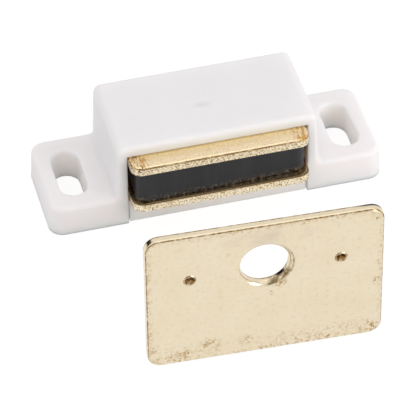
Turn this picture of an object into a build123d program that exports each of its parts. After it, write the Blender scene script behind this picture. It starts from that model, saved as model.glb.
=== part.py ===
from build123d import *
import math
import os

# A magnetic cupboard catch with its strike plate. Lengths are in millimetres and angles in degrees.
# Frame: X runs along the catch, the pole plates look along -Y, and the catch is screwed down on Z = 0.

# Driving sizes of the housing
catch_width = 19.0
ear_length = 11.8
ear_thickness = 5.8
end_wall = 1.5
roof_thickness = 1.95
rear_wall = 1.8
lip_thickness = 2.0
end_draft = 2.0
ear_draft = 3.0
rear_draft = 1.5
ear_corner_radius = 2.6
roof_corner_radius = 1.5
foot_radius = 0.8
edge_radius = 0.8
rim_radius = 0.25

# Driving sizes of the slots in the ears
slot_width = 5.0
slot_length = 11.5
slot_inset = 5.45
slot_shift = -0.2
slot_rim_radius = 0.5

# Driving sizes of the magnet pack
plate_thickness = 1.6
pole_overhang = 0.75
pole_projection = 3.35
pole_corner_radius = 2.0
pole_edge_radius = 0.5
shoulder_step = 0.6
magnet_length = 30.3
magnet_thickness = 6.65
magnet_setback = 1.0
magnet_rear_setback = 1.65
magnet_turn = 1.8
magnet_corner_radius = 1.8
magnet_edge_radius = 0.2
float_travel = 1.0

# Driving sizes of the base cover
cover_height = 5.0
cover_skin = 1.4
cover_wall = 1.2
cover_ribs = 5
rib_thickness = 1.0
cover_corner_radius = 0.6
cover_setback = 0.1
lug_length = 3.0
lug_height = 1.0
lug_reach = 0.6
lug_level = 1.6
lug_spacing = 8.0

# Driving sizes of the strike plate
strike_length = 40.0
strike_height = 28.0
strike_thickness = 1.5
strike_corner_radius = 2.4
strike_edge_radius = 0.6
strike_gap = 31.7
strike_shift = -1.6
strike_turn = 2.5
hole_diameter = 8.2
hole_from_top = 8.7
hole_rim_radius = 1.0
spur_spacing = 25.4
spur_drop = 0.7
pit_radius = 0.85
pit_depth = 0.75
pit_lip = 0.12
spur_radius = 0.8
spur_height = 0.6

# Clearances. The cover, the magnet and the upper plate lie to the left, at the rest gap
pack_clearance = 0.1
side_clearance = 0.2
rest_gap = 0.1
stop_clearance = 0.1
rear_clearance = 0.4
cover_side_clearance = 0.2
cover_fit = 0.15
lug_fit = 0.1

# Levels of the stack, from the mounting plane up
lower_plate_base = cover_height + pack_clearance
magnet_base = lower_plate_base + plate_thickness
upper_plate_base = magnet_base + magnet_thickness
cavity_height = upper_plate_base + plate_thickness + pack_clearance
block_height = cavity_height + roof_thickness

# Places across the width
front_y = -catch_width / 2
rear_y = catch_width / 2
lip_y = front_y + lip_thickness
cavity_rear_y = rear_y - rear_wall
pole_front_y = front_y - pole_projection
shoulder_y = lip_y + stop_clearance
plate_rear_y = cavity_rear_y - rear_clearance - float_travel
magnet_front_y = pole_front_y + magnet_setback
magnet_depth = plate_rear_y - magnet_rear_setback - magnet_front_y

# Places along the length, from the magnet outwards. The catch comes to 60 mm in all
pole_length = magnet_length + 2 * pole_overhang
opening_half = pole_length / 2 + side_clearance
shoulder_half = pole_length / 2 + shoulder_step
cavity_half = shoulder_half + side_clearance
block_half = cavity_half + end_wall
catch_length = 2 * (block_half + ear_length)
slot_x = catch_length / 2 - slot_inset
cover_tongue_half = opening_half - cover_side_clearance
cover_half = cavity_half - cover_side_clearance
pack_shift = rest_gap - side_clearance
cover_shift = rest_gap - cover_side_clearance

# Place of the strike plate: its back looks at the pole plates
strike_back_y = pole_front_y - strike_gap
hole_z = strike_height - hole_from_top
spur_z = hole_z - spur_drop

# A cut runs this far past the face that it opens
overrun = 1.0


def block_between(x_low, x_high, y_low, y_high, z_low, z_high):
    """A plain block given by its six faces."""
    size = (x_high - x_low, y_high - y_low, z_high - z_low)
    middle = ((x_low + x_high) / 2, (y_low + y_high) / 2, (z_low + z_high) / 2)
    return Pos(*middle) * Box(*size)


def front_plane(y):
    """A drawing plane that looks along -Y: its first axis is X and its second is Z."""
    return Plane(origin=(0, y, 0), x_dir=(1, 0, 0), z_dir=(0, -1, 0))


def make_housing():
    """One moulding: a box open in front and below, with a slotted ear at each end."""
    ear_lean = ear_thickness * math.tan(math.radians(ear_draft))
    wall_lean = (block_height - ear_thickness) * math.tan(math.radians(end_draft))
    ear_end = catch_length / 2
    outline = [
        (-ear_end, 0),
        (ear_end, 0),
        (ear_end - ear_lean, ear_thickness),
        (block_half, ear_thickness),
        (block_half - wall_lean, block_height),
        (-block_half + wall_lean, block_height),
        (-block_half, ear_thickness),
        (-ear_end + ear_lean, ear_thickness),
    ]
    profile = make_face(Polyline(*outline, close=True))
    feet = [v for v in profile.vertices() if abs(abs(v.X) - block_half) < 0.01]
    profile = fillet(feet, foot_radius)
    crown = [v for v in profile.vertices() if abs(v.Y - block_height) < 0.01]
    profile = fillet(crown, roof_corner_radius)
    body = extrude(front_plane(front_y) * profile, amount=-catch_width)

    # The rear wall leans forward as it rises, to leave the mould
    lean = math.radians(rear_draft)
    rear_plane = Plane(origin=(0, rear_y, 0), x_dir=(1, 0, 0), z_dir=(0, math.cos(lean), math.sin(lean)))
    body = split(body, bisect_by=rear_plane, keep=Keep.BOTTOM)

    # Ear corners in plan, then every edge that shows from above
    corners = [e for e in body.edges() if is_ear_corner(e)]
    body = fillet(corners, ear_corner_radius)
    shown = [e for e in body.edges() if is_shown_edge(e)]
    body = fillet(shown, edge_radius)

    # The cavity for the magnet pack, and its opening between the two cheeks
    cavity = block_between(-cavity_half, cavity_half, lip_y, cavity_rear_y, -overrun, cavity_height)
    opening = block_between(-opening_half, opening_half, front_y - overrun, lip_y, -overrun, cavity_height)
    body = body - cavity - opening
    rim = [e for e in body.edges() if is_opening_rim(e)]
    body = fillet(rim, rim_radius)

    # Screw slots, which run from front to back
    for side in (-1, 1):
        slot = SlotOverall(slot_length, slot_width, rotation=90)
        cutter = extrude(slot, amount=ear_thickness + 2 * overrun)
        body = body - Pos(side * slot_x, slot_shift, -overrun) * cutter
    rims = [e for e in body.edges() if is_slot_rim(e)]
    body = fillet(rims, slot_rim_radius)

    # Recesses in the end walls for the lugs of the base cover
    for x, y in lug_places():
        reach = lug_reach + cover_side_clearance + lug_fit
        recess = block_between(
            -reach, reach,
            y - lug_length / 2 - lug_fit, y + lug_length / 2 + lug_fit,
            lug_level - lug_fit, lug_level + lug_height + lug_fit,
        )
        body = body - Pos(x, 0, 0) * recess
    return body


def is_ear_corner(edge):
    """An upright edge at the end of an ear."""
    box = edge.bounding_box()
    at_end = min(abs(box.min.X), abs(box.max.X)) > catch_length / 2 - ear_thickness / 2
    return at_end and box.size.Z > ear_thickness / 2


def is_shown_edge(edge):
    """An edge of the front, the rear or an ear's end, above the mounting plane."""
    box = edge.bounding_box()
    across = box.size.Y > catch_width / 2
    at_end = min(abs(box.min.X), abs(box.max.X)) > catch_length / 2 - slot_inset / 2
    upright_corner = box.min.Z < 0.01
    return not upright_corner and (at_end or not across)


def is_opening_rim(edge):
    """An edge of the opening on the front face."""
    box = edge.bounding_box()
    on_front = box.max.Y < front_y + 0.01
    within = max(abs(box.min.X), abs(box.max.X)) < opening_half + 0.01
    return on_front and within


def is_slot_rim(edge):
    """An edge of a slot on the top of its ear."""
    box = edge.bounding_box()
    middle = box.center()
    on_top = box.min.Z > ear_thickness - 0.01 and box.max.Z < ear_thickness + 0.01
    near = abs(abs(middle.X) - slot_x) < slot_width / 2 + 0.01
    return on_top and near and abs(middle.Y - slot_shift) < slot_length / 2 + 0.01


def lug_places():
    """Where the four snap lugs stand: at each end of the cover, two along the width."""
    middle_y = (lip_y + cavity_rear_y) / 2
    places = []
    for x in (-cover_half, cover_half):
        for y in (middle_y - lug_spacing / 2, middle_y + lug_spacing / 2):
            places.append((x, y))
    return places


def make_base_cover():
    """The strip that closes the housing from below: a ribbed tray, open downwards, with four lugs."""
    tongue = block_between(
        -cover_tongue_half, cover_tongue_half,
        front_y + cover_setback, lip_y + cover_wall, 0, cover_height,
    )
    low_edges = [e for e in tongue.edges() if is_cover_corner(e)]
    tongue = fillet(low_edges, cover_corner_radius)
    tray_front = lip_y + cover_fit
    tray_rear = cavity_rear_y - cover_fit
    tray = block_between(-cover_half, cover_half, tray_front, tray_rear, 0, cover_height)
    cover = tongue + tray

    # Pockets under the skin leave ribs between them
    inner_half = cover_half - cover_wall
    pocket_length = (2 * inner_half - cover_ribs * rib_thickness) / (cover_ribs + 1)
    for index in range(cover_ribs + 1):
        x_low = -inner_half + index * (pocket_length + rib_thickness)
        pocket = block_between(
            x_low, x_low + pocket_length,
            tray_front + cover_wall, tray_rear - cover_wall,
            -overrun, cover_height - cover_skin,
        )
        cover = cover - pocket

    for x, y in lug_places():
        lug = block_between(
            -lug_reach, lug_reach,
            y - lug_length / 2, y + lug_length / 2,
            lug_level, lug_level + lug_height,
        )
        cover = cover + Pos(x, 0, 0) * lug
    return Pos(cover_shift, 0, 0) * cover


def is_cover_corner(edge):
    """One of the two lower edges at the ends of the cover's front strip."""
    box = edge.bounding_box()
    low = box.max.Z < 0.01
    at_end = min(abs(box.min.X), abs(box.max.X)) > cover_tongue_half - 0.01
    return low and at_end


def make_pole_plate(base, shift):
    """A stamped steel plate: a tongue with round corners, and shoulders that stop behind the lip."""
    tongue_middle = (pole_front_y + plate_rear_y) / 2
    shoulder_middle = (shoulder_y + plate_rear_y) / 2
    tongue = Pos(0, tongue_middle) * Rectangle(pole_length, plate_rear_y - pole_front_y)
    front_corners = [v for v in tongue.vertices() if v.Y < tongue_middle]
    tongue = fillet(front_corners, pole_corner_radius)
    shoulder = Pos(0, shoulder_middle) * Rectangle(2 * shoulder_half, plate_rear_y - shoulder_y)
    blank = tongue + shoulder
    plate = extrude(Pos(shift, 0, base) * blank, amount=plate_thickness)
    rolled = [e for e in plate.edges() if is_rolled_edge(e, base + plate_thickness)]
    return fillet(rolled, pole_edge_radius)


def is_rolled_edge(edge, level):
    """A top edge of the pole plate's tongue, which the punch leaves rounded."""
    box = edge.bounding_box()
    return box.min.Z > level - 0.01 and box.max.Y < shoulder_y + 0.01 and box.min.Y < shoulder_y - 0.01


def make_magnet():
    """A pressed ferrite block, held between the plates by its own pull alone, and a little askew."""
    block = block_between(
        -magnet_length / 2, magnet_length / 2,
        -magnet_depth / 2, magnet_depth / 2, magnet_base, upper_plate_base,
    )
    block = fillet(block.edges().filter_by(Axis.Z), magnet_corner_radius)
    faces = [block.faces().sort_by(Axis.Z)[0], block.faces().sort_by(Axis.Z)[-1]]
    edges = [e for face in faces for e in face.edges()]
    block = chamfer(edges, magnet_edge_radius)
    return Pos(pack_shift, magnet_front_y + magnet_depth / 2, 0) * Rot(0, 0, magnet_turn) * block


def make_strike_plate():
    """A stamped plate standing on its long edge, a little askew, with a screw hole and two pierced spurs."""
    blank = Pos(0, strike_height / 2) * RectangleRounded(strike_length, strike_height, strike_corner_radius)
    plate = extrude(front_plane(0) * blank, amount=strike_thickness)
    rolled = [e for e in plate.edges() if e.bounding_box().max.Y < 0.01 - strike_thickness]
    plate = fillet(rolled, strike_edge_radius)

    hole = front_plane(overrun) * (Pos(0, hole_z) * Circle(hole_diameter / 2))
    plate = plate - extrude(hole, amount=strike_thickness + 2 * overrun)
    rim = [e for e in plate.edges() if is_hole_rim(e)]
    plate = fillet(rim, hole_rim_radius)

    # Each spur is a round cone behind a pit with a low raised lip
    for side in (-1, 1):
        place = Pos(side * spur_spacing / 2, -strike_thickness, spur_z)
        plate = plate + place * make_spur_fill() - place * make_spur_pit()
    return Pos(strike_shift, strike_back_y, 0) * Rot(0, 0, -strike_turn) * plate


def is_hole_rim(edge):
    """The edge of the screw hole on the face that shows."""
    box = edge.bounding_box()
    on_face = box.max.Y < 0.01 - strike_thickness
    return on_face and box.size.X < hole_diameter + 0.01 and box.size.Z < hole_diameter + 0.01


def make_spur_fill():
    """The metal of a spur about the Y axis: the lip in front and the cone behind."""
    profile = [
        (0, -pit_lip),
        (pit_radius + pit_lip, -pit_lip),
        (pit_radius + 2 * pit_lip, 0),
        (pit_radius + 2 * pit_lip, strike_thickness / 2),
        (spur_radius, strike_thickness),
        (spur_radius / 4, strike_thickness + spur_height),
        (0, strike_thickness + spur_height),
    ]
    return revolve(make_face(Polyline(*profile, close=True)), Axis.Y)


def make_spur_pit():
    """The round pit that the piercing punch leaves, about the Y axis."""
    profile = [
        (0, -pit_lip - overrun),
        (pit_radius, -pit_lip - overrun),
        (pit_radius, -pit_lip),
        (pit_radius / 4, pit_depth),
        (0, pit_depth),
    ]
    return revolve(make_face(Polyline(*profile, close=True)), Axis.Y)


def write_parts():
    """One file for each piece, named for the piece."""
    pieces = {
        "housing": make_housing(),
        "base_cover": make_base_cover(),
        "lower_pole_plate": make_pole_plate(lower_plate_base, 0),
        "magnet": make_magnet(),
        "upper_pole_plate": make_pole_plate(upper_plate_base, pack_shift),
        "strike_plate": make_strike_plate(),
    }
    os.makedirs("parts", exist_ok=True)
    for name, piece in pieces.items():
        export_step(piece, f"parts/{name}.step")


write_parts()
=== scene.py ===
# %% [markdown]
# # A magnetic cupboard catch and its strike plate
#
# The shapes of this catch come from a solid model: a white moulded housing, a magnet between two steel
# pole plates, and the strike plate that goes on the door. This script gives them their finish, and puts
# them under soft light in front of a camera. The solid model is the fixed frame, so nothing in it is
# moved or reshaped here.

# %% Load the solid model
import math

import bpy
from mathutils import Matrix, Vector, noise


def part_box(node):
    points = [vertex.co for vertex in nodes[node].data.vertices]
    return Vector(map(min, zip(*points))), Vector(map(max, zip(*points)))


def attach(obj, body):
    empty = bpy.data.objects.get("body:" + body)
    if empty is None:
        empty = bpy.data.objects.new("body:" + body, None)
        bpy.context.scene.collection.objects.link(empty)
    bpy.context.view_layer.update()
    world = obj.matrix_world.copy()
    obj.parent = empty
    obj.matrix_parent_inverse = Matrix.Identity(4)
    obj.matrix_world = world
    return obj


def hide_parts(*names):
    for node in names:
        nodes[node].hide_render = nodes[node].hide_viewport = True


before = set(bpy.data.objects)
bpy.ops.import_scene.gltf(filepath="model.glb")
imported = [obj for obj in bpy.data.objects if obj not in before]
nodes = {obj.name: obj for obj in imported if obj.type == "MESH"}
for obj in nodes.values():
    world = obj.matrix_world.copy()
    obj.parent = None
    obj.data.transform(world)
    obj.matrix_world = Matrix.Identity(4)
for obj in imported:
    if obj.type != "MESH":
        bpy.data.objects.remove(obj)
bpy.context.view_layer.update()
print("pieces:", ", ".join(sorted(nodes)))

# %% [markdown]
# ## Units and colours
#
# The scene is in metres, but a catch is thought of in millimetres, so one factor turns one into the
# other. Colours are chosen as hex values, the way a paint or a screen shows them. A shader works with
# linear light, so one function turns a hex value to linear.

# %% Millimetres and colours
MM = 0.001


def linear(hex_colour):
    """The linear colour, with alpha, of an sRGB hex value such as #ebe9ea."""
    channels = []
    for start in (1, 3, 5):
        value = int(hex_colour[start:start + 2], 16) / 255
        if value <= 0.04045:
            channels.append(value / 12.92)
        else:
            channels.append(((value + 0.055) / 1.055) ** 2.4)
    return (*channels, 1.0)


print("the housing's white in linear light:", [round(value, 3) for value in linear("#efedee")])

# %% [markdown]
# ## One function for every node
#
# A material is a tree of small nodes. Each is made in the same way: pick its kind, set its properties,
# then fill each input with a number or with another node's output. One function does all of that. Most
# links come from a node's first output, so the function also takes the node itself for that.

# %% Add a node
def add_node(tree, kind, inputs=None, **settings):
    """Adds a node. An input takes a value, a node's output, or a node, which gives its first output."""
    node = tree.nodes.new(kind)
    for name, value in settings.items():
        setattr(node, name, value)
    for name, value in (inputs or {}).items():
        if isinstance(value, bpy.types.Node):
            value = value.outputs[0]
        if isinstance(value, bpy.types.NodeSocket):
            tree.links.new(value, node.inputs[name])
        else:
            node.inputs[name].default_value = value
    return node


# %% [markdown]
# ## The camera
#
# The photograph was taken from in front, a little to the left and well above, with a long lens, so that
# the catch's long edges hardly converge. The lens is worked out from the picture's focal length in
# pixels and its width. The camera stands at a distance from a point near the middle of the catch, and
# it is turned by three angles.

# %% Place the camera
PICTURE_WIDTH = 416
FOCAL_PIXELS = 3343.5
SENSOR_WIDTH = 36.0
CAMERA_AZIMUTH = math.radians(-14.243)
CAMERA_ELEVATION = math.radians(42.209)
CAMERA_ROLL = math.radians(-0.784)
CAMERA_DISTANCE = 592.4 * MM
AIM_RIGHT = 0.512 * MM
AIM_UP = -6.414 * MM

view_direction = Vector((
    -math.sin(CAMERA_AZIMUTH) * math.cos(CAMERA_ELEVATION),
    math.cos(CAMERA_AZIMUTH) * math.cos(CAMERA_ELEVATION),
    -math.sin(CAMERA_ELEVATION),
))
level_right = view_direction.cross(Vector((0, 0, 1))).normalized()
level_up = level_right.cross(view_direction)
camera_right = math.cos(CAMERA_ROLL) * level_right + math.sin(CAMERA_ROLL) * level_up
camera_up = camera_right.cross(view_direction)

camera_data = bpy.data.cameras.new("product_camera")
camera_data.sensor_width = SENSOR_WIDTH
camera_data.lens = FOCAL_PIXELS / PICTURE_WIDTH * SENSOR_WIDTH
camera_data.clip_start = 10 * MM
camera_data.clip_end = 10.0
camera = bpy.data.objects.new("product_camera", camera_data)
bpy.context.scene.collection.objects.link(camera)
turn = Matrix((camera_right, camera_up, -view_direction)).transposed()
place = camera_right * AIM_RIGHT + camera_up * AIM_UP - view_direction * CAMERA_DISTANCE
camera.matrix_world = Matrix.Translation(place) @ turn.to_4x4()
bpy.context.scene.camera = camera
print("lens in mm:", round(camera_data.lens, 1))

# %% [markdown]
# ## A white floor that keeps the shadow
#
# The object is shown on plain white. A floor that is white only because it is lit hard would also
# throw too much light back on the object. So the floor is a pale diffuse surface for the light that
# it bounces, and the camera, and what mirrors and glass show, see that surface with a glow added. The
# glow leaves a soft grey shadow where the object meets the floor.

# %% Lay the floor
FLOOR_HALF = 3.0
FLOOR_DROP = 0.02 * MM

floor_mesh = bpy.data.meshes.new("floor")
floor_corners = [(-FLOOR_HALF, -FLOOR_HALF, 0), (FLOOR_HALF, -FLOOR_HALF, 0),
                 (FLOOR_HALF, FLOOR_HALF, 0), (-FLOOR_HALF, FLOOR_HALF, 0)]
floor_mesh.from_pydata(floor_corners, [], [(0, 1, 2, 3)])
floor = bpy.data.objects.new("floor", floor_mesh)
bpy.context.scene.collection.objects.link(floor)
floor.location.z = -FLOOR_DROP
print("floor in metres:", 2 * FLOOR_HALF, "by", 2 * FLOOR_HALF)

# %% Paper for the floor
FLOOR_GLOW = 0.86
FLOOR_SHARE = 0.2

floor_paper = bpy.data.materials.new("white_paper_sweep")
floor_paper.use_nodes = True
tree = floor_paper.node_tree
tree.nodes.clear()
rays = add_node(tree, "ShaderNodeLightPath").outputs
seen = add_node(tree, "ShaderNodeMath",
                {0: rays["Is Camera Ray"], 1: rays["Is Glossy Ray"]}, operation="MAXIMUM")
seen = add_node(tree, "ShaderNodeMath", {0: seen, 1: rays["Is Transmission Ray"]}, operation="MAXIMUM")
bounce = add_node(tree, "ShaderNodeBsdfDiffuse", {"Color": linear("#e6e6e6")})
glow = add_node(tree, "ShaderNodeEmission", {"Color": linear("#ffffff"), "Strength": FLOOR_GLOW})
share = add_node(tree, "ShaderNodeBsdfDiffuse", {"Color": (FLOOR_SHARE, FLOOR_SHARE, FLOOR_SHARE, 1)})
shown = add_node(tree, "ShaderNodeAddShader", {0: glow, 1: share})
either = add_node(tree, "ShaderNodeMixShader", {0: seen, 1: bounce, 2: shown})
add_node(tree, "ShaderNodeOutputMaterial", {"Surface": either})
floor_mesh.materials.append(floor_paper)
print("glow of the paper:", FLOOR_GLOW)

# %% [markdown]
# ## The room around it
#
# Plated metal shows little colour of its own: it shows the room, tinted. This small studio is white all
# round. A brighter soft box hangs overhead, and the far left corner is dark. The soft box draws the
# bright line where a plate's flat side turns into its rolled edge, and the corner darkens the plates'
# round ends. Both are given to mirror reflections alone, so that the light on the white plastic stays
# even.

# %% The dark corner
CORNER_TOWARDS = Vector((-0.68, 0.70, 0.20)).normalized()
CORNER_EDGE = (0.88, 0.96)

room = bpy.data.worlds.new("small_studio")
bpy.context.scene.world = room
room.use_nodes = True
tree = room.node_tree
tree.nodes.clear()
rays = add_node(tree, "ShaderNodeLightPath").outputs
direction = add_node(tree, "ShaderNodeTexCoord").outputs["Generated"]
to_corner = add_node(tree, "ShaderNodeVectorMath",
                     {0: direction, 1: CORNER_TOWARDS}, operation="DOT_PRODUCT")
in_corner = add_node(tree, "ShaderNodeMapRange",
                     {"Value": to_corner.outputs["Value"],
                      "From Min": CORNER_EDGE[0], "From Max": CORNER_EDGE[1]},
                     interpolation_type="SMOOTHSTEP")
walls = add_node(tree, "ShaderNodeMix",
                 {0: in_corner, 6: linear("#fdfcfa"), 7: linear("#1c1a17")}, data_type="RGBA")
print("half the corner's angle:", round(math.degrees(math.acos(CORNER_EDGE[0])), 1), "degrees")

# %% The soft box overhead
SOFT_BOX_TOWARDS = Vector((0.10, 0.05, 0.99)).normalized()
SOFT_BOX_EDGE = (0.84, 0.93)
SOFT_BOX_EXTRA = 0.35

to_box = add_node(tree, "ShaderNodeVectorMath",
                  {0: direction, 1: SOFT_BOX_TOWARDS}, operation="DOT_PRODUCT")
in_box = add_node(tree, "ShaderNodeMapRange",
                  {"Value": to_box.outputs["Value"],
                   "From Min": SOFT_BOX_EDGE[0], "From Max": SOFT_BOX_EDGE[1],
                   "To Min": 1.0, "To Max": 1.0 + SOFT_BOX_EXTRA}, interpolation_type="SMOOTHSTEP")
print("half the soft box's angle:", round(math.degrees(math.acos(SOFT_BOX_EDGE[0])), 1), "degrees")

# %% [markdown]
# Each kind of ray now gets its own view of the room. The rays that light the catch see an even white.
# Mirror reflections see the corner and the soft box. The camera, and what is seen through glass, get
# plain white.

# %% What each kind of ray sees
ROOM_LIGHT = 0.82

even = add_node(tree, "ShaderNodeBackground", {"Color": linear("#fefcfd"), "Strength": ROOM_LIGHT})
mirrored = add_node(tree, "ShaderNodeBackground", {"Color": walls.outputs[2], "Strength": in_box})
white = add_node(tree, "ShaderNodeBackground", {"Color": linear("#ffffff"), "Strength": 1.0})
first = add_node(tree, "ShaderNodeMixShader", {0: rays["Is Glossy Ray"], 1: even, 2: mirrored})
direct = add_node(tree, "ShaderNodeMath",
                  {0: rays["Is Camera Ray"], 1: rays["Is Transmission Ray"]}, operation="MAXIMUM")
both = add_node(tree, "ShaderNodeMixShader", {0: direct, 1: first, 2: white})
add_node(tree, "ShaderNodeOutputWorld", {"Surface": both})
print("light of the room:", ROOM_LIGHT)

# %% [markdown]
# ## Two soft lamps
#
# The catch's right end is a little brighter than its left, and faces that look left are greyer than
# those that look up. So the stronger lamp stands to the right, in front and above, close enough to fall
# off along the catch. A weaker one from the left keeps the end wall from going dull. Both are large
# squares, whose shadows are soft, and both are weak beside the room's own light.

# %% Hang the lamps
def hang_lamp(name, place_mm, aim_mm, side_mm, watts, colour):
    """A square soft box at a place, turned to its aim."""
    data = bpy.data.lights.new(name, "AREA")
    data.shape = "SQUARE"
    data.size = side_mm * MM
    data.energy = watts
    data.color = linear(colour)[:3]
    lamp = bpy.data.objects.new(name, data)
    bpy.context.scene.collection.objects.link(lamp)
    lamp.location = Vector(place_mm) * MM
    lamp.rotation_mode = "QUATERNION"
    lamp.rotation_quaternion = (Vector(place_mm) - Vector(aim_mm)).to_track_quat("Z", "Y")
    print(name, "at", place_mm, "with", watts, "W")


CATCH_FRONT = (0, -10, 5)

hang_lamp("right_soft_box", (260, -300, 190), CATCH_FRONT, 220, 0.50, "#fffcfc")
hang_lamp("left_soft_box", (-330, -200, 260), CATCH_FRONT, 240, 0.12, "#fffdfb")

# %% [markdown]
# ## Where on a piece a pixel lies
#
# Most of the marks on these pieces have a place: a stain near an edge, a tint inside a slot. Object
# coordinates give the place in the frame of the solid model, and they stay with a piece that slides. So
# each new material comes with them, beside its shader. It is given to a piece through the object's slot,
# which leaves the piece's mesh as it was.

# %% Start a material, and give it to pieces
def start_material(name):
    """A new material, with its tree, its shader and the socket of its object coordinates."""
    material = bpy.data.materials.new(name)
    material.use_nodes = True
    tree = material.node_tree
    tree.nodes.clear()
    shader = add_node(tree, "ShaderNodeBsdfPrincipled")
    add_node(tree, "ShaderNodeOutputMaterial", {"Surface": shader})
    place = add_node(tree, "ShaderNodeTexCoord").outputs["Object"]
    return material, tree, shader, place


def finish_nodes(names, material):
    """Gives a material to pieces of the solid model, through their objects' slots."""
    for name in names:
        piece = nodes[name]
        for slot in piece.material_slots:
            slot.link = "OBJECT"
            slot.material = material
        print(name, "is finished in", material.name)


# %% [markdown]
# ## Moulded ABS
#
# The housing and its base cover are white ABS, pressed hot into a polished steel mould that has been
# blasted a little dull. That gives a satin plastic with a cool white colour, whose tone is never quite
# even. A painted picture could be wrapped round the piece. Noise, measured in real millimetres, needs no
# unwrapping and stays sharp close up, so slow clouds of noise mix two whites.

# %% Moulded ABS: its white
CLOUD_SIZE = 9 * MM

material, tree, shader, place = start_material("moulded_white_abs")
cloud = add_node(tree, "ShaderNodeTexNoise", {"Vector": place, "Scale": 1 / CLOUD_SIZE, "Detail": 2.0})
tone = add_node(tree, "ShaderNodeMix",
                {0: cloud, 6: linear("#f1efef"), 7: linear("#f6f4f4")}, data_type="RGBA")
print("clouds in mm:", round(CLOUD_SIZE / MM))

# %% [markdown]
# Deep inside the two screw slots the white is painted warmer: painted light, standing in for light that
# has gone through more plastic and comes out warmer. The slots are the same left and right, so the
# absolute value of X serves both. Each ramp goes from 0 outside to 1 inside, and all three are
# multiplied.

# %% Moulded ABS: painted warm light inside the slots
SLOT_MIDDLE = 24.55 * MM
SLOT_REACH = (3.1 * MM, 6.4 * MM)
SLOT_BLEND = 0.3 * MM
SLOT_SHIFT = -0.2 * MM
EAR_TOP = 5.8 * MM
PAINTED_LIGHT_FROM = EAR_TOP - 0.1 * MM
PAINTED_LIGHT_FULL = EAR_TOP - 2.0 * MM

axes = add_node(tree, "ShaderNodeSeparateXYZ", {0: place}).outputs
side = add_node(tree, "ShaderNodeMath", {0: axes["X"]}, operation="ABSOLUTE")
off_slot = add_node(tree, "ShaderNodeMath", {0: side, 1: SLOT_MIDDLE}, operation="SUBTRACT")
off_slot = add_node(tree, "ShaderNodeMath", {0: off_slot}, operation="ABSOLUTE")
in_slot = add_node(tree, "ShaderNodeMapRange",
                   {"Value": off_slot,
                    "From Min": SLOT_REACH[0], "From Max": SLOT_REACH[0] - SLOT_BLEND})
along = add_node(tree, "ShaderNodeMath", {0: axes["Y"], 1: SLOT_SHIFT}, operation="SUBTRACT")
along = add_node(tree, "ShaderNodeMath", {0: along}, operation="ABSOLUTE")
in_length = add_node(tree, "ShaderNodeMapRange",
                     {"Value": along,
                      "From Min": SLOT_REACH[1], "From Max": SLOT_REACH[1] - SLOT_BLEND})
deep = add_node(tree, "ShaderNodeMapRange",
                {"Value": axes["Z"], "From Min": PAINTED_LIGHT_FROM, "From Max": PAINTED_LIGHT_FULL})
painted_slot_light = add_node(tree, "ShaderNodeMath", {0: in_slot, 1: deep}, operation="MULTIPLY")
painted_slot_light = add_node(tree, "ShaderNodeMath", {0: painted_slot_light, 1: in_length}, operation="MULTIPLY")
# The painted warm light of the slots is mixed into the white here.
tone = add_node(tree, "ShaderNodeMix",
                {0: painted_slot_light, 6: tone.outputs[2], 7: linear("#fffaf5")}, data_type="RGBA")
print("slots' middle in mm:", round(SLOT_MIDDLE / MM, 2))

# %% [markdown]
# The roof has the faint smudge of the gate, where the plastic came into the mould. It is a flat oval:
# the offset from its middle, divided by its half sizes, has a length of 1 at its edge. Noise breaks up
# the oval.

# %% Moulded ABS: the gate's smudge
GATE_PLACE = (-0.7 * MM, -1.4 * MM, 17.0 * MM)
GATE_SIZE = (2.2 * MM, 1.0 * MM, 1.0 * MM)
GATE_GRAIN = 0.8 * MM

from_gate = add_node(tree, "ShaderNodeVectorMath", {0: place, 1: GATE_PLACE}, operation="SUBTRACT")
from_gate = add_node(tree, "ShaderNodeVectorMath", {0: from_gate, 1: GATE_SIZE}, operation="DIVIDE")
from_gate = add_node(tree, "ShaderNodeVectorMath", {0: from_gate}, operation="LENGTH")
smudge = add_node(tree, "ShaderNodeMapRange",
                  {"Value": from_gate.outputs["Value"], "From Min": 1.0, "From Max": 0.1})
broken = add_node(tree, "ShaderNodeTexNoise", {"Vector": place, "Scale": 1 / GATE_GRAIN, "Detail": 3.0})
smudge = add_node(tree, "ShaderNodeMath", {0: smudge, 1: broken}, operation="MULTIPLY")
tone = add_node(tree, "ShaderNodeMix",
                {0: smudge, 6: tone.outputs[2], 7: linear("#dcd9dc")}, data_type="RGBA")
print("smudge in mm:", [round(2 * value / MM, 1) for value in GATE_SIZE[:2]])

# %% [markdown]
# The walls have sunk a little as they cooled, in waves some millimetres long, and a blasted mould leaves
# a grain. The real grain is finer than a pixel, so it is drawn at 0.4 mm. Light goes a millimetre or two
# into the plastic before it comes back, which fills its shadows. That is what subsurface scattering does.

# %% Moulded ABS: its skin
SKIN_GRAIN = 0.4 * MM
SINK_LENGTH = 7 * MM
SINK_DEPTH = 0.12 * MM

grain = add_node(tree, "ShaderNodeTexNoise", {"Vector": place, "Scale": 1 / SKIN_GRAIN, "Detail": 3.0})
waves = add_node(tree, "ShaderNodeTexNoise", {"Vector": place, "Scale": 1 / SINK_LENGTH, "Detail": 1.0})
bump = add_node(tree, "ShaderNodeBump", {"Height": waves, "Strength": 1.0, "Distance": SINK_DEPTH})
bump = add_node(tree, "ShaderNodeBump",
                {"Height": grain, "Strength": 0.3, "Distance": 0.01 * MM, "Normal": bump})
sheen = add_node(tree, "ShaderNodeMapRange", {"Value": grain, "To Min": 0.48, "To Max": 0.58})
tree.links.new(tone.outputs[2], shader.inputs["Base Color"])
tree.links.new(sheen.outputs[0], shader.inputs["Roughness"])
tree.links.new(bump.outputs[0], shader.inputs["Normal"])
shader.inputs["IOR"].default_value = 1.54
shader.inputs["Subsurface Weight"].default_value = 0.9
shader.inputs["Subsurface Radius"].default_value = (1.0, 0.84, 0.80)
shader.inputs["Subsurface Scale"].default_value = 2.2 * MM
finish_nodes(("housing", "base_cover"), material)

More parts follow.
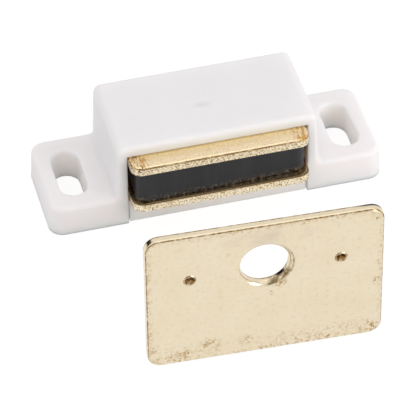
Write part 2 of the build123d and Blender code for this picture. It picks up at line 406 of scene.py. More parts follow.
# %% [markdown]
# ## A magnet with chipped edges
#
# The magnet is a block of hard ferrite: iron oxide powder, pressed and fired like a tile. Its edges
# are brittle and lose small chips, most of them along the lower front edge. A chip is a shape, so the
# block is built again as a mesh that is fine along its edges. It takes its size from the solid block,
# whose vertices are turned back square to be measured. Its outline is a round-cornered rectangle, and
# its section is a list of rings, each set in by a distance at a height.

# %% Measure the magnet
MAGNET_TURN = math.radians(1.8)
MAGNET_CORNER = 1.8 * MM

low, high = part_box("magnet")
magnet_middle = (low + high) / 2
square_back = Matrix.Rotation(-MAGNET_TURN, 3, "Z")
squared = [square_back @ (vertex.co - magnet_middle) for vertex in nodes["magnet"].data.vertices]
magnet_half = Vector([max(point[axis] for point in squared) for axis in range(3)])
print("magnet in mm:", [round(2 * value / MM, 2) for value in magnet_half])

# %% Draw the magnet's outline
EDGE_STEP = 0.16 * MM


def rounded_outline(half_x, half_y, radius, step):
    """Points round a round-cornered rectangle, with the direction that looks outwards at each."""
    points = []
    corners = [(1, 1, 0), (-1, 1, 90), (-1, -1, 180), (1, -1, 270)]
    arc_steps = max(2, round(radius * math.pi / 2 / step))
    for index, (side_x, side_y, start) in enumerate(corners):
        centre = Vector((side_x * (half_x - radius), side_y * (half_y - radius)))
        for count in range(arc_steps + 1):
            angle = math.radians(start + 90 * count / arc_steps)
            outwards = Vector((math.cos(angle), math.sin(angle)))
            points.append((centre + radius * outwards, outwards))
        along = 2 * (half_x if index % 2 == 0 else half_y) - 2 * radius
        straight = max(1, round(along / step))
        forward = Vector((-outwards.y, outwards.x))
        start_point = points[-1][0]
        for count in range(1, straight):
            points.append((start_point + forward * along * count / straight, outwards))
    return points


outline = rounded_outline(magnet_half.x, magnet_half.y, MAGNET_CORNER, EDGE_STEP)
print("points round the magnet:", len(outline))

# %% Rings of the magnet's section
CHAMFER = 0.2 * MM
TOP_INSET = 1.0 * MM

full_height = 2 * magnet_half.z
near_edge = [0.0, 0.2, 0.3, 0.42, 0.56, 0.75, 1.1]
rings = [(TOP_INSET, 0.0), (TOP_INSET / 2, 0.0), (CHAMFER, 0.0)]
rings += [(0.0, max(CHAMFER, height * MM)) for height in near_edge[1:]]
rings += [(0.0, full_height * share) for share in (0.28, 0.4, 0.5, 0.6, 0.72)]
rings += [(0.0, full_height - max(CHAMFER, height * MM)) for height in reversed(near_edge[1:])]
rings += [(CHAMFER, full_height), (TOP_INSET / 2, full_height), (TOP_INSET, full_height)]
print("rings from the foot to the top:", len(rings))

# %% Chips along the magnet's edges
CHIP_DEPTH = 0.5 * MM
CHIP_REACH = 0.9 * MM
CHIP_LENGTH = 1.0 * MM
CHIP_FROM = 0.06
CHIP_BLEND = 0.4
UPPER_CHIPS = 0.35


def chip_at(point, height):
    """How deep a chip goes at a place on the magnet's skin, in metres."""
    from_low = height
    from_high = full_height - height
    strength = 1.0 if from_low < from_high else UPPER_CHIPS
    reach = 1 - min(from_low, from_high) / CHIP_REACH
    if reach <= 0:
        return 0.0
    value = noise.fractal(point / CHIP_LENGTH, 1.0, 2.0, 4)
    return CHIP_DEPTH * strength * reach * max(0.0, min(1.0, (value - CHIP_FROM) / CHIP_BLEND))


print("deepest chip in mm:", CHIP_DEPTH / MM)

# %% Build the magnet's mesh
SHARP_ANGLE = math.radians(28)

vertices = []
for inset, height in rings:
    for point, outwards in outline:
        flat = point - outwards * inset
        place_now = Vector((flat.x, flat.y, height))
        depth = chip_at(place_now, height) * (1 - inset / TOP_INSET)
        inwards = Vector((-outwards.x, -outwards.y, 0))
        place_now = place_now + inwards * depth
        vertices.append(magnet_middle + Matrix.Rotation(MAGNET_TURN, 3, "Z") @ (
            place_now - Vector((0, 0, magnet_half.z))))
count = len(outline)
faces = []
for ring in range(len(rings) - 1):
    for index in range(count):
        after = (index + 1) % count
        faces.append((ring * count + index, ring * count + after,
                      (ring + 1) * count + after, (ring + 1) * count + index))
faces.append(tuple(reversed(range(count))))
faces.append(tuple((len(rings) - 1) * count + index for index in range(count)))
magnet_mesh = bpy.data.meshes.new("chipped_magnet")
magnet_mesh.from_pydata(vertices, [], faces)
magnet_mesh.polygons.foreach_set("use_smooth", [True] * len(faces))
magnet_mesh.set_sharp_from_angle(angle=SHARP_ANGLE)
print("magnet faces:", len(faces))

# %% Put the magnet in the pack
magnet = bpy.data.objects.new("chipped_magnet", magnet_mesh)
bpy.context.scene.collection.objects.link(magnet)
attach(magnet, "magnet_pack")
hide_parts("magnet")
print("the chipped magnet takes the place of the plain one")

# %% [markdown]
# ## Pressed ferrite
#
# The block is nearly black, with a grey bloom where fine powder has rubbed off. Its skin is a dull,
# close grain like a fired tile. The real grain is too fine to show, so it is drawn at 0.25 mm. The faces
# carry faint upright marks from the press, which are noise that is stretched by making Z count for less.

# %% Pressed ferrite: its black and the marks of the press
GRAIN_SIZE = 0.25 * MM
MARK_WIDTH = 2.4 * MM
MARK_STRETCH = (1.0, 1.0, 0.12)

material, tree, shader, place = start_material("pressed_ferrite")
axes = add_node(tree, "ShaderNodeSeparateXYZ", {0: place}).outputs
grain = add_node(tree, "ShaderNodeTexNoise",
                 {"Vector": place, "Scale": 1 / GRAIN_SIZE, "Detail": 5.0, "Roughness": 0.65})
tone = add_node(tree, "ShaderNodeMix",
                {0: grain, 6: linear("#0d0d10"), 7: linear("#232327")}, data_type="RGBA")
upright = add_node(tree, "ShaderNodeVectorMath", {0: place, 1: MARK_STRETCH}, operation="MULTIPLY")
marks = add_node(tree, "ShaderNodeTexNoise",
                 {"Vector": upright, "Scale": 1 / MARK_WIDTH, "Detail": 3.0})
marks = add_node(tree, "ShaderNodeMapRange",
                 {"Value": marks, "From Min": 0.40, "From Max": 0.70, "To Max": 0.5})
tone = add_node(tree, "ShaderNodeMix",
                {0: marks, 6: tone.outputs[2], 7: linear("#2e2e30")}, data_type="RGBA")
print("marks of the press in mm:", round(MARK_WIDTH / MM, 1))

# %% [markdown]
# Pale dust and broken grains sit low on the block, where its edge has chipped. They are a noise cut off
# to spots, and a ramp on the height lets them through near the foot alone.

# %% Pressed ferrite: dust along the foot
BLOCK_HEIGHT = high.z - low.z
DUST_TOP = low.z + 0.20 * BLOCK_HEIGHT
DUST_FULL = low.z + 0.02 * BLOCK_HEIGHT
DUST_SIZE = 0.45 * MM

low_edge = add_node(tree, "ShaderNodeMapRange",
                    {"Value": axes["Z"], "From Min": DUST_TOP, "From Max": DUST_FULL})
dust = add_node(tree, "ShaderNodeTexNoise",
                {"Vector": place, "Scale": 1 / DUST_SIZE, "Detail": 4.0, "Roughness": 0.75})
dust = add_node(tree, "ShaderNodeMapRange", {"Value": dust, "From Min": 0.50, "From Max": 0.64})
dust = add_node(tree, "ShaderNodeMath", {0: dust, 1: low_edge}, operation="MULTIPLY")
tone = add_node(tree, "ShaderNodeMix",
                {0: dust, 6: tone.outputs[2], 7: linear("#847c70")}, data_type="RGBA")
print("height of the block in mm:", round(BLOCK_HEIGHT / MM, 2))

# %% Pressed ferrite: its dull skin
bump = add_node(tree, "ShaderNodeBump", {"Height": grain, "Strength": 0.5, "Distance": 0.03 * MM})
tree.links.new(tone.outputs[2], shader.inputs["Base Color"])
tree.links.new(bump.outputs[0], shader.inputs["Normal"])
shader.inputs["Roughness"].default_value = 0.5
shader.inputs["Specular IOR Level"].default_value = 0.36
magnet_mesh.materials.append(material)
finish_nodes(("magnet",), material)

# %% [markdown]
# ## Brass plating on the pole plates
#
# The pole plates are punched from mild steel, tumbled and plated with brass. The flat faces are smooth
# and lightly specked. Towards the housing the brass is painted yellower and brighter, a painted warm
# reflection of the wall and the plate lighting each other. Plating is a metal to a shader, so its base
# colour is the colour of what it mirrors.

# %% Brass plating on the pole plates: its tone, a painted warm reflection and specks
WALL_Y = -9.6 * MM
TIP_Y = -11.6 * MM
SPECK_SIZE = 0.35 * MM

material, tree, shader, place = start_material("brass_plated_pole_steel")
axes = add_node(tree, "ShaderNodeSeparateXYZ", {0: place}).outputs
painted_warm_reflection = add_node(tree, "ShaderNodeMapRange",
                     {"Value": axes["Y"], "From Min": TIP_Y, "From Max": WALL_Y},
                     interpolation_type="SMOOTHSTEP")
# Towards the wall the brass tone is a painted warm reflection.
tone = add_node(tree, "ShaderNodeMix",
                {0: painted_warm_reflection, 6: linear("#eedab7"), 7: linear("#ffecbe")}, data_type="RGBA")
grain = add_node(tree, "ShaderNodeTexNoise",
                 {"Vector": place, "Scale": 1 / SPECK_SIZE, "Detail": 4.0, "Roughness": 0.7})
speck = add_node(tree, "ShaderNodeMapRange",
                 {"Value": grain, "From Min": 0.52, "From Max": 0.68, "To Max": 0.5})
tone = add_node(tree, "ShaderNodeMix",
                {0: speck, 6: tone.outputs[2], 7: linear("#bb9350")}, data_type="RGBA")
print("specks in mm:", round(SPECK_SIZE / MM, 2))

# %% [markdown]
# Both ends are rubbed, and streaked with ochre from front to back. The streaks are noise drawn out along
# Y, and a ramp on the absolute value of X keeps them to the ends.

# %% Brass plating on the pole plates: streaked ends
ENDS_FROM = 12.4 * MM
ENDS_FULL = 13.8 * MM
STREAK_WIDTH = 0.5 * MM
STREAK_STRETCH = (1.0, 0.35, 1.0)

side = add_node(tree, "ShaderNodeMath", {0: axes["X"]}, operation="ABSOLUTE")
at_end = add_node(tree, "ShaderNodeMapRange",
                  {"Value": side, "From Min": ENDS_FROM, "From Max": ENDS_FULL})
drawn_out = add_node(tree, "ShaderNodeVectorMath", {0: place, 1: STREAK_STRETCH}, operation="MULTIPLY")
streaks = add_node(tree, "ShaderNodeTexNoise",
                   {"Vector": drawn_out, "Scale": 1 / STREAK_WIDTH, "Detail": 3.0, "Roughness": 0.6})
streaks = add_node(tree, "ShaderNodeMapRange", {"Value": streaks, "From Min": 0.46, "From Max": 0.60})
streaks = add_node(tree, "ShaderNodeMath", {0: streaks, 1: at_end}, operation="MULTIPLY")
tone = add_node(tree, "ShaderNodeMix",
                {0: streaks, 6: tone.outputs[2], 7: linear("#c08f42")}, data_type="RGBA")
print("streaks begin at mm:", round(ENDS_FROM / MM, 1))

# %% [markdown]
# The punch rolls the upper edge over and then tears the steel. So below the bright rolled edge comes a
# rough band with dark pores. No edge of the mesh bounds that band, so the material finds it by its
# normal: the Z of the normal falls from 1 on the flat to 0 on the torn front. On the lower plate the torn
# band begins higher up the roll.

# %% Brass plating on the pole plates: the torn band
BETWEEN_PLATES = (7.0 * MM, 8.0 * MM)
LOWER_TEAR_RISE = 0.5
PORE_SIZE = 0.32 * MM

facing = add_node(tree, "ShaderNodeTexCoord").outputs["Normal"]
upwards = add_node(tree, "ShaderNodeSeparateXYZ", {0: facing}).outputs["Z"]
upwards = add_node(tree, "ShaderNodeMath", {0: upwards}, operation="ABSOLUTE")
lower_plate = add_node(tree, "ShaderNodeMapRange",
                       {"Value": axes["Z"], "From Min": BETWEEN_PLATES[1], "From Max": BETWEEN_PLATES[0],
                        "To Max": LOWER_TEAR_RISE})
torn_level = add_node(tree, "ShaderNodeMath", {0: upwards, 1: lower_plate}, operation="SUBTRACT")
cut = add_node(tree, "ShaderNodeMapRange", {"Value": torn_level, "From Min": 0.34, "From Max": 0.16})
torn = add_node(tree, "ShaderNodeTexNoise",
                {"Vector": place, "Scale": 1 / PORE_SIZE, "Detail": 3.0, "Roughness": 0.7})
torn_dark = add_node(tree, "ShaderNodeMapRange", {"Value": torn, "From Min": 0.47, "From Max": 0.62})
torn_tone = add_node(tree, "ShaderNodeMix",
                     {0: torn_dark, 6: linear("#f4e7cb"), 7: linear("#94743f")}, data_type="RGBA")
tone = add_node(tree, "ShaderNodeMix",
                {0: cut, 6: tone.outputs[2], 7: torn_tone.outputs[2]}, data_type="RGBA")
print("pores in mm:", round(PORE_SIZE / MM, 2))

# %% [markdown]
# Two brown lines lie on the roll. Half way round it, the first is a painted dark reflection; where the
# tear begins, the second is a paler brown line. A line is where the normal's Z is close to one value.
# Noise breaks up the first line, which is dotted on the real plate.

# %% Brass plating on the pole plates: a painted dark reflection and the tear's line
PAINTED_REFLECTION_Z = 0.60
TEAR_LINE = 0.30
LINE_BREAKS = 0.6 * MM

broken = add_node(tree, "ShaderNodeTexNoise",
                  {"Vector": place, "Scale": 1 / LINE_BREAKS, "Detail": 2.0})
broken = add_node(tree, "ShaderNodeMapRange",
                  {"Value": broken, "From Min": 0.38, "From Max": 0.52, "To Min": 0.35})
painted_roll_reflection = add_node(tree, "ShaderNodeMath", {0: upwards, 1: PAINTED_REFLECTION_Z}, operation="SUBTRACT")
painted_roll_reflection = add_node(tree, "ShaderNodeMath", {0: painted_roll_reflection}, operation="ABSOLUTE")
painted_roll_reflection = add_node(tree, "ShaderNodeMapRange",
                     {"Value": painted_roll_reflection, "From Min": 0.16, "From Max": 0.08})
painted_roll_reflection = add_node(tree, "ShaderNodeMath", {0: painted_roll_reflection, 1: broken}, operation="MULTIPLY")
tear_line = add_node(tree, "ShaderNodeMath", {0: torn_level, 1: TEAR_LINE}, operation="SUBTRACT")
tear_line = add_node(tree, "ShaderNodeMath", {0: tear_line}, operation="ABSOLUTE")
tear_line = add_node(tree, "ShaderNodeMapRange",
                     {"Value": tear_line, "From Min": 0.12, "From Max": 0.04, "To Max": 0.6})
tone = add_node(tree, "ShaderNodeMix",
                {0: tear_line, 6: tone.outputs[2], 7: linear("#9c7a40")}, data_type="RGBA")
# Half way round the roll, a painted dark reflection.
tone = add_node(tree, "ShaderNodeMix",
                {0: painted_roll_reflection, 6: tone.outputs[2], 7: linear("#5a4019")}, data_type="RGBA")
print("lines where the normal's Z is", PAINTED_REFLECTION_Z, "and", TEAR_LINE)

# %% [markdown]
# Two more marks. The upper plate's left front corner has one dark blot. The lower plate's rolled edge
# carries a painted dark reflection of the magnet all along, but its flat face does not.

# %% Brass plating on the pole plates: a blot and a painted reflection of the magnet
BLOT_PLACE = (-14.4 * MM, -12.5 * MM, 14.7 * MM)
BLOT_RADIUS = 1.1 * MM
PAINTED_REFLECTION_STRENGTH = 1.8

to_blot = add_node(tree, "ShaderNodeVectorMath", {0: place, 1: BLOT_PLACE}, operation="DISTANCE")
blot = add_node(tree, "ShaderNodeMapRange",
                {"Value": to_blot.outputs["Value"],
                 "From Min": BLOT_RADIUS, "From Max": 0.3 * BLOT_RADIUS})
blot = add_node(tree, "ShaderNodeMath", {0: blot, 1: torn_dark}, operation="MULTIPLY")
tone = add_node(tree, "ShaderNodeMix",
                {0: blot, 6: tone.outputs[2], 7: linear("#4a3716")}, data_type="RGBA")
painted_magnet_reflection = add_node(tree, "ShaderNodeMapRange", {"Value": upwards, "From Min": 0.48, "From Max": 0.60})
not_flat = add_node(tree, "ShaderNodeMapRange", {"Value": upwards, "From Min": 0.995, "From Max": 0.97})
painted_magnet_reflection = add_node(tree, "ShaderNodeMath", {0: painted_magnet_reflection, 1: not_flat}, operation="MULTIPLY")
painted_magnet_reflection = add_node(tree, "ShaderNodeMath", {0: painted_magnet_reflection, 1: lower_plate}, operation="MULTIPLY")
painted_magnet_reflection = add_node(tree, "ShaderNodeMath", {0: painted_magnet_reflection, 1: PAINTED_REFLECTION_STRENGTH}, operation="MULTIPLY")
# The lower plate's roll gets a painted dark reflection of the magnet.
tone = add_node(tree, "ShaderNodeMix",
                {0: painted_magnet_reflection, 6: tone.outputs[2], 7: linear("#5d4c32")}, data_type="RGBA")
print("blot in mm:", round(2 * BLOT_RADIUS / MM, 1))

# %% [markdown]
# Tumbling leaves dents nearly a millimetre wide in the soft plating, and the torn band is rough as well
# as dark. So three bumps follow each other: the specks, the dents, and the pores within the torn band.

# %% Brass plating on the pole plates: dents and roughness
DENT_WIDTH = 0.8 * MM
DENT_DEPTH = 0.05 * MM
PORE_DEPTH = 0.06 * MM

rough = add_node(tree, "ShaderNodeMapRange", {"Value": cut, "To Min": 0.18, "To Max": 0.34})
bump = add_node(tree, "ShaderNodeBump", {"Height": grain, "Strength": 0.35, "Distance": 0.02 * MM})
dents = add_node(tree, "ShaderNodeTexNoise", {"Vector": place, "Scale": 1 / DENT_WIDTH, "Detail": 2.0})
bump = add_node(tree, "ShaderNodeBump",
                {"Height": dents, "Strength": 0.6, "Distance": DENT_DEPTH, "Normal": bump})
bump = add_node(tree, "ShaderNodeBump",
                {"Height": torn, "Strength": cut, "Distance": PORE_DEPTH, "Normal": bump})
tree.links.new(tone.outputs[2], shader.inputs["Base Color"])
tree.links.new(rough.outputs[0], shader.inputs["Roughness"])
tree.links.new(bump.outputs[0], shader.inputs["Normal"])
shader.inputs["Metallic"].default_value = 1.0
finish_nodes(("upper_pole_plate", "lower_pole_plate"), material)

# %% [markdown]
# ## The strike plate: how far a point lies inside its outline
#
# The strike plate has the same plating, paler and less glossy. Its marks follow its outline: tarnish
# gathers just inside the rolled edges, and a painted dark reflection runs along them. The plate stands
# turned by 2.5 degrees, so the material first turns each place into the plate's own coordinates, from
# the middle of its foot. Then it works out how far a point lies inside the plate's round-cornered
# outline. The distance to a rectangle that is smaller all round by the corner's radius, less that
# radius, is the distance to the rounded one.

# %% Measure the strike plate
STRIKE_TURN = math.radians(2.5)
STRIKE_CORNER = 2.4 * MM

low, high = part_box("strike_plate")
strike_place = Vector(((low.x + high.x) / 2, (low.y + high.y) / 2, 0))
square_back = Matrix.Rotation(STRIKE_TURN, 3, "Z")
squared = [square_back @ (vertex.co - strike_place) for vertex in nodes["strike_plate"].data.vertices]
strike_half = [(max(point[axis] for point in squared) - min(point[axis] for point in squared)) / 2
               for axis in range(3)]
print("strike plate with its spurs in mm:", [round(2 * value / MM, 2) for value in strike_half])

# %% The strike plate's own coordinates
material, tree, shader, place = start_material("brass_plated_strike_steel")
own = add_node(tree, "ShaderNodeVectorMath", {0: place, 1: strike_place}, operation="SUBTRACT")
own = add_node(tree, "ShaderNodeVectorRotate", {"Vector": own, "Angle": STRIKE_TURN},
               rotation_type="Z_AXIS").outputs[0]
axes = add_node(tree, "ShaderNodeSeparateXYZ", {0: own}).outputs
flat_place = add_node(tree, "ShaderNodeCombineXYZ", {"X": axes["X"], "Y": axes["Z"]})
facing = add_node(tree, "ShaderNodeTexCoord").outputs["Normal"]
strike_back = (math.sin(STRIKE_TURN), math.cos(STRIKE_TURN), 0)
looking = add_node(tree, "ShaderNodeVectorMath", {0: facing, 1: strike_back}, operation="DOT_PRODUCT")
print("the plate's back looks towards", [round(value, 3) for value in strike_back])

# %% Distance inside the strike plate's outline
across = add_node(tree, "ShaderNodeMath", {0: axes["X"]}, operation="ABSOLUTE")
across = add_node(tree, "ShaderNodeMath",
                  {0: across, 1: strike_half[0] - STRIKE_CORNER}, operation="SUBTRACT")
along = add_node(tree, "ShaderNodeMath", {0: axes["Z"], 1: strike_half[2]}, operation="SUBTRACT")
along = add_node(tree, "ShaderNodeMath", {0: along}, operation="ABSOLUTE")
along = add_node(tree, "ShaderNodeMath",
                 {0: along, 1: strike_half[2] - STRIKE_CORNER}, operation="SUBTRACT")
past = add_node(tree, "ShaderNodeCombineXYZ", {"X": across, "Y": along})
past = add_node(tree, "ShaderNodeVectorMath", {0: past, 1: (0, 0, 0)}, operation="MAXIMUM")
past = add_node(tree, "ShaderNodeVectorMath", {0: past}, operation="LENGTH")
short = add_node(tree, "ShaderNodeMath", {0: across, 1: along}, operation="MAXIMUM")
short = add_node(tree, "ShaderNodeMath", {0: short, 1: 0.0}, operation="MINIMUM")
inside = add_node(tree, "ShaderNodeMath",
                  {0: STRIKE_CORNER, 1: past.outputs["Value"]}, operation="SUBTRACT")
inside = add_node(tree, "ShaderNodeMath", {0: inside, 1: short}, operation="SUBTRACT")
print("corner radius in mm:", round(STRIKE_CORNER / MM, 1))

# %% [markdown]
# ## The strike plate's plating and its wear
#
# The plating is a pale, slightly pink brass. Handling has clouded it, and a fine mottle lies over all of
# it. Both are noise, one with clouds of 6 mm and one with grains of 0.9 mm.

# %% Brass plating on the strike plate: its tone
STRIKE_CLOUD = 6 * MM
STRIKE_MOTTLE = 0.9 * MM

cloud = add_node(tree, "ShaderNodeTexNoise", {"Vector": own, "Scale": 1 / STRIKE_CLOUD, "Detail": 3.0})
tone = add_node(tree, "ShaderNodeMix",
                {0: cloud, 6: linear("#e2d2b3"), 7: linear("#e9dec7")}, data_type="RGBA")
mottle = add_node(tree, "ShaderNodeTexNoise",
                  {"Vector": own, "Scale": 1 / STRIKE_MOTTLE, "Detail": 5.0, "Roughness": 0.7})
faint = add_node(tree, "ShaderNodeMapRange",
                 {"Value": mottle, "From Min": 0.52, "From Max": 0.75, "To Max": 0.35})
tone = add_node(tree, "ShaderNodeMix",
                {0: faint, 6: tone.outputs[2], 7: linear("#c9ae80")}, data_type="RGBA")
print("clouds and mottle in mm:", round(STRIKE_CLOUD / MM, 1), round(STRIKE_MOTTLE / MM, 1))

# %% [markdown]
# A dull grey smear crosses the plate above the hole. It is an oval, like the gate's smudge on the roof,
# and the clouds break it up.

# %% Brass plating on the strike plate: the smear
SMEAR_PLACE = (0.6 * MM, 25.4 * MM)
SMEAR_SIZE = (9.5 * MM, 2.2 * MM)

from_smear = add_node(tree, "ShaderNodeVectorMath", {0: flat_place, 1: (*SMEAR_PLACE, 0)},
                      operation="SUBTRACT")
from_smear = add_node(tree, "ShaderNodeVectorMath", {0: from_smear, 1: (*SMEAR_SIZE, 1)},
                      operation="DIVIDE")
from_smear = add_node(tree, "ShaderNodeVectorMath", {0: from_smear}, operation="LENGTH")
smear = add_node(tree, "ShaderNodeMapRange",
                 {"Value": from_smear.outputs["Value"], "From Min": 1.0, "From Max": 0.3})
smear_noise = add_node(tree, "ShaderNodeMapRange",
                       {"Value": cloud, "From Min": 0.40, "From Max": 0.56, "To Max": 0.6})
smear = add_node(tree, "ShaderNodeMath", {0: smear, 1: smear_noise}, operation="MULTIPLY")
tone = add_node(tree, "ShaderNodeMix",
                {0: smear, 6: tone.outputs[2], 7: linear("#cdbdab")}, data_type="RGBA")
print("smear in mm:", [round(2 * value / MM, 1) for value in SMEAR_SIZE])

# %% [markdown]
# Tarnish has gathered just inside the rolled edge, along the foot and in some spots on the face. A spot
# has a place, counted from the middle of the plate's foot, a radius, both in millimetres, and a strength.
# Where edge, foot and spots overlap, the strongest counts. A fine noise then breaks them into specks.

# %% Brass plating on the strike plate: tarnish at the edge and the foot
EDGE_REACH = (1.3 * MM, 0.4 * MM)
FOOT_REACH = (5 * MM, 0.5 * MM)

at_edge = add_node(tree, "ShaderNodeMapRange",
                   {"Value": inside, "From Min": EDGE_REACH[0], "From Max": EDGE_REACH[1],
                    "To Max": 0.6}, interpolation_type="SMOOTHSTEP")
at_foot = add_node(tree, "ShaderNodeMapRange",
                   {"Value": axes["Z"], "From Min": FOOT_REACH[0], "From Max": FOOT_REACH[1],
                    "To Max": 0.85}, interpolation_type="SMOOTHSTEP")
patches = add_node(tree, "ShaderNodeMapRange", {"Value": cloud, "From Min": 0.40, "From Max": 0.54})
at_foot = add_node(tree, "ShaderNodeMath", {0: at_foot, 1: patches}, operation="MULTIPLY")
where = add_node(tree, "ShaderNodeMath", {0: at_edge, 1: at_foot}, operation="MAXIMUM")
print("tarnish from the edge inwards in mm:", round(EDGE_REACH[0] / MM, 1))

# %% Brass plating on the strike plate: tarnish in spots
SPOTS = (
    (1.0, 13.3, 0.35, 1.0), (1.1, 12.6, 0.45, 0.8), (-6.3, 23.0, 0.6, 0.4),
    (19.0, 12.1, 1.2, 0.7), (19.3, 21.0, 0.9, 0.7), (19.2, 16.4, 0.8, 0.5), (18.7, 26.2, 1.0, 0.8),
    (17.9, 1.8, 2.0, 1.0), (5.9, 1.8, 1.8, 0.5), (-9.6, 3.0, 2.4, 0.7), (-18.6, 3.7, 1.4, 0.6),
    (-3.4, 3.1, 1.6, 0.6), (11.1, 1.2, 1.6, 0.6), (-13.9, 1.4, 2.6, 0.8), (2.3, 15.2, 1.6, 0.9),
)
SPOT_GAIN = 1.6
SPOT_CORE = 0.3

for x, z, radius, strength in SPOTS:
    to_spot = add_node(tree, "ShaderNodeVectorMath",
                       {0: flat_place, 1: (x * MM, z * MM, 0)}, operation="DISTANCE")
    spot = add_node(tree, "ShaderNodeMapRange",
                    {"Value": to_spot.outputs["Value"], "From Min": radius * MM,
                     "From Max": SPOT_CORE * radius * MM, "To Max": SPOT_GAIN * strength})
    where = add_node(tree, "ShaderNodeMath", {0: where, 1: spot}, operation="MAXIMUM")
on_face = add_node(tree, "ShaderNodeMapRange",
                   {"Value": looking.outputs["Value"], "From Min": -0.30, "From Max": -0.60})
where = add_node(tree, "ShaderNodeMath", {0: where, 1: on_face}, operation="MULTIPLY")
print("spots:", len(SPOTS))

# %% Brass plating on the strike plate: tarnish in specks
BLOTCH_SIZE = 0.55 * MM

blotch = add_node(tree, "ShaderNodeTexNoise",
                  {"Vector": own, "Scale": 1 / BLOTCH_SIZE, "Detail": 5.0, "Roughness": 0.75})
blotch = add_node(tree, "ShaderNodeMapRange", {"Value": blotch, "From Min": 0.48, "From Max": 0.64})
stain = add_node(tree, "ShaderNodeMath", {0: where, 1: blotch}, operation="MULTIPLY", use_clamp=True)
tone = add_node(tree, "ShaderNodeMix",
                {0: stain, 6: tone.outputs[2], 7: linear("#a98347")}, data_type="RGBA")
print("specks of tarnish in mm:", round(BLOTCH_SIZE / MM, 2))

# %% [markdown]
# Fine brown lines follow the plate's shape. One, a painted dark reflection, runs along the middle of the
# rolled edge, where the normal is about half way round. Round the hole, whose edge is rolled too, it
# stays only on the right.

# %% Brass plating on the strike plate: the painted dark reflection along the roll
HOLE_PLACE = (0.0, 19.3 * MM)
HOLE_RIM = 4.75 * MM
ROLL_MIDDLE = 0.62
RIGHT_SIDE = (2 * MM, 5 * MM)

turned = add_node(tree, "ShaderNodeMath",
                  {0: looking.outputs["Value"], 1: ROLL_MIDDLE}, operation="ADD")
turned = add_node(tree, "ShaderNodeMath", {0: turned}, operation="ABSOLUTE")
line = add_node(tree, "ShaderNodeMapRange", {"Value": turned, "From Min": 0.20, "From Max": 0.10})
to_hole = add_node(tree, "ShaderNodeVectorMath", {0: flat_place, 1: (*HOLE_PLACE, 0)},
                   operation="DISTANCE")
off_rim = add_node(tree, "ShaderNodeMath",
                   {0: to_hole.outputs["Value"], 1: HOLE_RIM}, operation="SUBTRACT")
clear_of_hole = add_node(tree, "ShaderNodeMapRange",
                         {"Value": off_rim, "From Min": 0.45 * MM, "From Max": 0.75 * MM,
                          "To Min": 0.1})
rim_right = add_node(tree, "ShaderNodeMapRange",
                     {"Value": axes["X"], "From Min": RIGHT_SIDE[0], "From Max": RIGHT_SIDE[1]})
allowed = add_node(tree, "ShaderNodeMath", {0: rim_right, 1: 0.5}, operation="MULTIPLY")
allowed = add_node(tree, "ShaderNodeMath", {0: clear_of_hole, 1: allowed}, operation="MAXIMUM")
line = add_node(tree, "ShaderNodeMath", {0: line, 1: allowed}, operation="MULTIPLY")
print("the hole's rim in mm:", round(2 * HOLE_RIM / MM, 1))

# %% [markdown]
# More such lines lie on the right of the hole's rim, along the back edge and round the two pits that the
# piercing punch left. Each comes from how far a place lies from the line, and the strongest counts.

# %% Brass plating on the strike plate: lines at the hole's rim and the back edge
BACK_Y = 0.6 * MM

off_rim = add_node(tree, "ShaderNodeMath", {0: off_rim}, operation="ABSOLUTE")
rim_line = add_node(tree, "ShaderNodeMapRange",
                    {"Value": off_rim, "From Min": 0.24 * MM, "From Max": 0.08 * MM, "To Max": 0.8})
rim_line = add_node(tree, "ShaderNodeMath", {0: rim_line, 1: rim_right}, operation="MULTIPLY")
line = add_node(tree, "ShaderNodeMath", {0: line, 1: rim_line}, operation="MAXIMUM")
off_back = add_node(tree, "ShaderNodeMapRange",
                    {"Value": looking.outputs["Value"], "From Min": 0.85, "From Max": 0.6})
back_edge = add_node(tree, "ShaderNodeMapRange",
                     {"Value": axes["Y"], "From Min": BACK_Y - 0.28 * MM, "From Max": BACK_Y - 0.12 * MM})
back_edge = add_node(tree, "ShaderNodeMath", {0: back_edge, 1: off_back}, operation="MULTIPLY")
line = add_node(tree, "ShaderNodeMath", {0: line, 1: back_edge}, operation="MAXIMUM")
print("the back in mm behind the middle of the foot:", round(BACK_Y / MM, 1))

# %% Brass plating on the strike plate: lines round the pits
PIT_PLACES = ((-12.7 * MM, 18.6 * MM), (12.7 * MM, 18.6 * MM))
PIT_RIM = 0.95 * MM

for x, z in PIT_PLACES:
    to_pit = add_node(tree, "ShaderNodeVectorMath", {0: flat_place, 1: (x, z, 0)}, operation="DISTANCE")
    in_pit = add_node(tree, "ShaderNodeMapRange",
                      {"Value": to_pit.outputs["Value"],
                       "From Min": PIT_RIM + 0.2 * MM, "From Max": PIT_RIM, "To Max": 0.6})
    line = add_node(tree, "ShaderNodeMath", {0: line, 1: in_pit}, operation="MAXIMUM")
dotted = add_node(tree, "ShaderNodeMapRange",
                  {"Value": mottle, "From Min": 0.38, "From Max": 0.56, "To Min": 0.25})
line = add_node(tree, "ShaderNodeMath", {0: line, 1: dotted}, operation="MULTIPLY", use_clamp=True)
# The line along the roll, mixed in here, is a painted dark reflection.
tone = add_node(tree, "ShaderNodeMix",
                {0: line, 6: tone.outputs[2], 7: linear("#7c5b28")}, data_type="RGBA")
print("pits:", len(PIT_PLACES))

# %% [markdown]
# The hole's wall carries a painted dark reflection, mottled, low on its right side. The offset from the
# hole's middle, measured along one direction, says how far a place lies to that side.

# %% Brass plating on the strike plate: the painted dark reflection on the hole's wall
WALL_TOWARDS = (0.6, -0.8, 0)
WALL_FROM = 3.5 * MM
WALL_FULL = 4.0 * MM

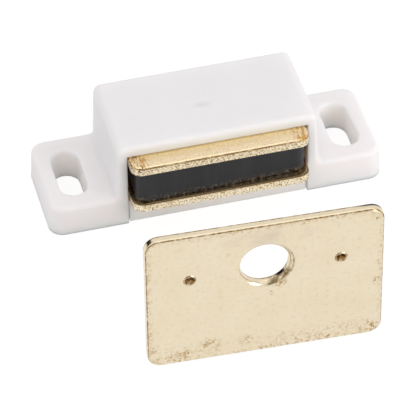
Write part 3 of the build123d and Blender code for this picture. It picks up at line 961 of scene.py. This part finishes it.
from_hole = add_node(tree, "ShaderNodeVectorMath", {0: flat_place, 1: (*HOLE_PLACE, 0)},
                     operation="SUBTRACT")
low_right = add_node(tree, "ShaderNodeVectorMath", {0: from_hole, 1: WALL_TOWARDS},
                     operation="DOT_PRODUCT")
low_right = add_node(tree, "ShaderNodeMapRange",
                     {"Value": low_right.outputs["Value"], "From Min": WALL_FROM, "From Max": WALL_FULL})
on_wall = add_node(tree, "ShaderNodeMapRange",
                   {"Value": to_hole.outputs["Value"],
                    "From Min": HOLE_RIM, "From Max": HOLE_RIM - 0.2 * MM})
painted_hole_reflection = add_node(tree, "ShaderNodeMath", {0: low_right, 1: on_wall}, operation="MULTIPLY")
painted_hole_reflection = add_node(tree, "ShaderNodeMath", {0: painted_hole_reflection, 1: dotted}, operation="MULTIPLY")
# The hole's wall gets a painted dark reflection.
tone = add_node(tree, "ShaderNodeMix",
                {0: painted_hole_reflection, 6: tone.outputs[2], 7: linear("#7b6945")}, data_type="RGBA")
print("tarnish on the hole's wall from mm:", round(WALL_FROM / MM, 1))

# %% [markdown]
# The back edge along the top right corner carries a painted black reflection. Three ramps, for how far
# back, how far right and how high a place lies, are multiplied, so that all three must hold.

# %% Brass plating on the strike plate: the painted black reflection at the corner
BLACK_X = (15 * MM, 17 * MM)
BLACK_Z = (25.6 * MM, 27 * MM)

behind = add_node(tree, "ShaderNodeMapRange",
                  {"Value": axes["Y"], "From Min": BACK_Y - 0.5 * MM, "From Max": BACK_Y - 0.2 * MM})
behind = add_node(tree, "ShaderNodeMath", {0: behind, 1: off_back}, operation="MULTIPLY")
towards_right = add_node(tree, "ShaderNodeMapRange",
                         {"Value": axes["X"], "From Min": BLACK_X[0], "From Max": BLACK_X[1]})
black = add_node(tree, "ShaderNodeMath", {0: behind, 1: towards_right}, operation="MULTIPLY")
near_top = add_node(tree, "ShaderNodeMapRange",
                    {"Value": axes["Z"], "From Min": BLACK_Z[0], "From Max": BLACK_Z[1]})
black = add_node(tree, "ShaderNodeMath", {0: black, 1: near_top}, operation="MULTIPLY")
# The corner's painted black reflection.
tone = add_node(tree, "ShaderNodeMix",
                {0: black, 6: tone.outputs[2], 7: linear("#2a2216")}, data_type="RGBA")
print("black corner from mm:", round(BLACK_X[0] / MM, 1))

# %% [markdown]
# The thin plate is not quite flat after punching, so slow waves bend what it mirrors, and the mottle
# roughens it a little. Tarnished places are duller than clean ones.

# %% Brass plating on the strike plate: waves and gloss
WAVE_LENGTH = 2.2 * MM
WAVE_HEIGHT = 0.03 * MM

waves = add_node(tree, "ShaderNodeTexNoise", {"Vector": own, "Scale": 1 / WAVE_LENGTH, "Detail": 2.0})
bump = add_node(tree, "ShaderNodeBump", {"Height": waves, "Strength": 1.0, "Distance": WAVE_HEIGHT})
bump = add_node(tree, "ShaderNodeBump",
                {"Height": mottle, "Strength": 0.5, "Distance": 0.02 * MM, "Normal": bump})
rough = add_node(tree, "ShaderNodeMapRange", {"Value": stain, "To Min": 0.20, "To Max": 0.45})
tree.links.new(tone.outputs[2], shader.inputs["Base Color"])
tree.links.new(rough.outputs[0], shader.inputs["Roughness"])
tree.links.new(bump.outputs[0], shader.inputs["Normal"])
shader.inputs["Metallic"].default_value = 1.0
finish_nodes(("strike_plate",), material)

# %% [markdown]
# ## The view transform
#
# Last, the view transform is set to Standard. The finish adds no size to what is shown.

# %% Set the view transform and finish
bpy.context.scene.view_settings.view_transform = "Standard"
